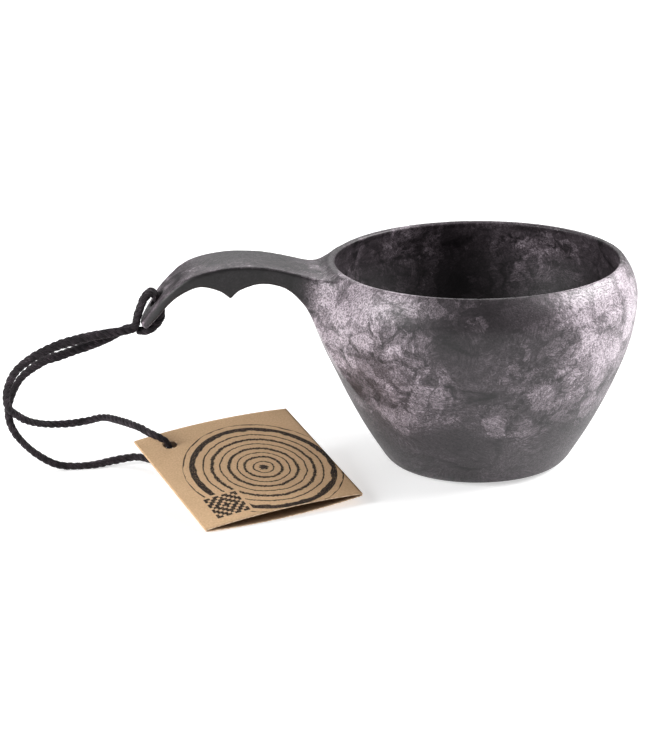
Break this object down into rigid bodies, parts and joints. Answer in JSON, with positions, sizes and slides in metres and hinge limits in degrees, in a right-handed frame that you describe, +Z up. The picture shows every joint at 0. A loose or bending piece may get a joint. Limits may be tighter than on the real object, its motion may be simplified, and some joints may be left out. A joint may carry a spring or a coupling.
{
  "type": "kuksa drinking cup with lanyard and hang tag",
  "caption": "Round-bellied drinking cup with a thin arched finger handle, a twisted cord lanyard hitched through the handle's eye, and a folded square card hang tag.",
  "frame": {"origin": "centre of the flat base, on the bowl's axis, at the surface the cup stands on", "axes": "+Z up along the bowl's axis; the handle points to -X; +Y is to the left seen from the handle's tip"},
  "size_m": [0.228, 0.1236, 0.0784],
  "materials": {
    "cup_composite": "satin moulded wood-fibre composite, charcoal with cloudy silver-mauve flow marks",
    "cord_twine": "soft twisted twine, charcoal, slightly fuzzy",
    "kraft_card": "uncoated kraft card",
    "printed_card": "uncoated kraft card printed in one dark ink"
  },
  "bodies": {
    "cup": {"cup": "cup_composite", "lanyard_hitch": "cord_twine"},
    "lanyard": {"lanyard_cord": "cord_twine"},
    "tag": {"tag_back_leaf": "kraft_card"},
    "tag_cover": {"tag_cover_leaf": "printed_card"}
  },
  "joints": [
    {"name": "lanyard_swing", "type": "hinge", "parent": "cup", "child": "lanyard", "pos_m": [-0.1247, 0, 0.0541], "axis": [0, 0, 1], "range_deg": [-45, 10]},
    {"name": "tag_swivel", "type": "hinge", "parent": "lanyard", "child": "tag", "pos_m": [-0.112, -0.0157, 0.0141], "axis": [0, 0, 1], "range_deg": [-45, 20]},
    {"name": "tag_cover_fold", "type": "hinge", "parent": "tag", "child": "tag_cover", "pos_m": [-0.102, -0.066, 0.0012], "axis": [0.3712, -0.8965, -0.2418], "range_deg": [0, 6]}
  ]
}
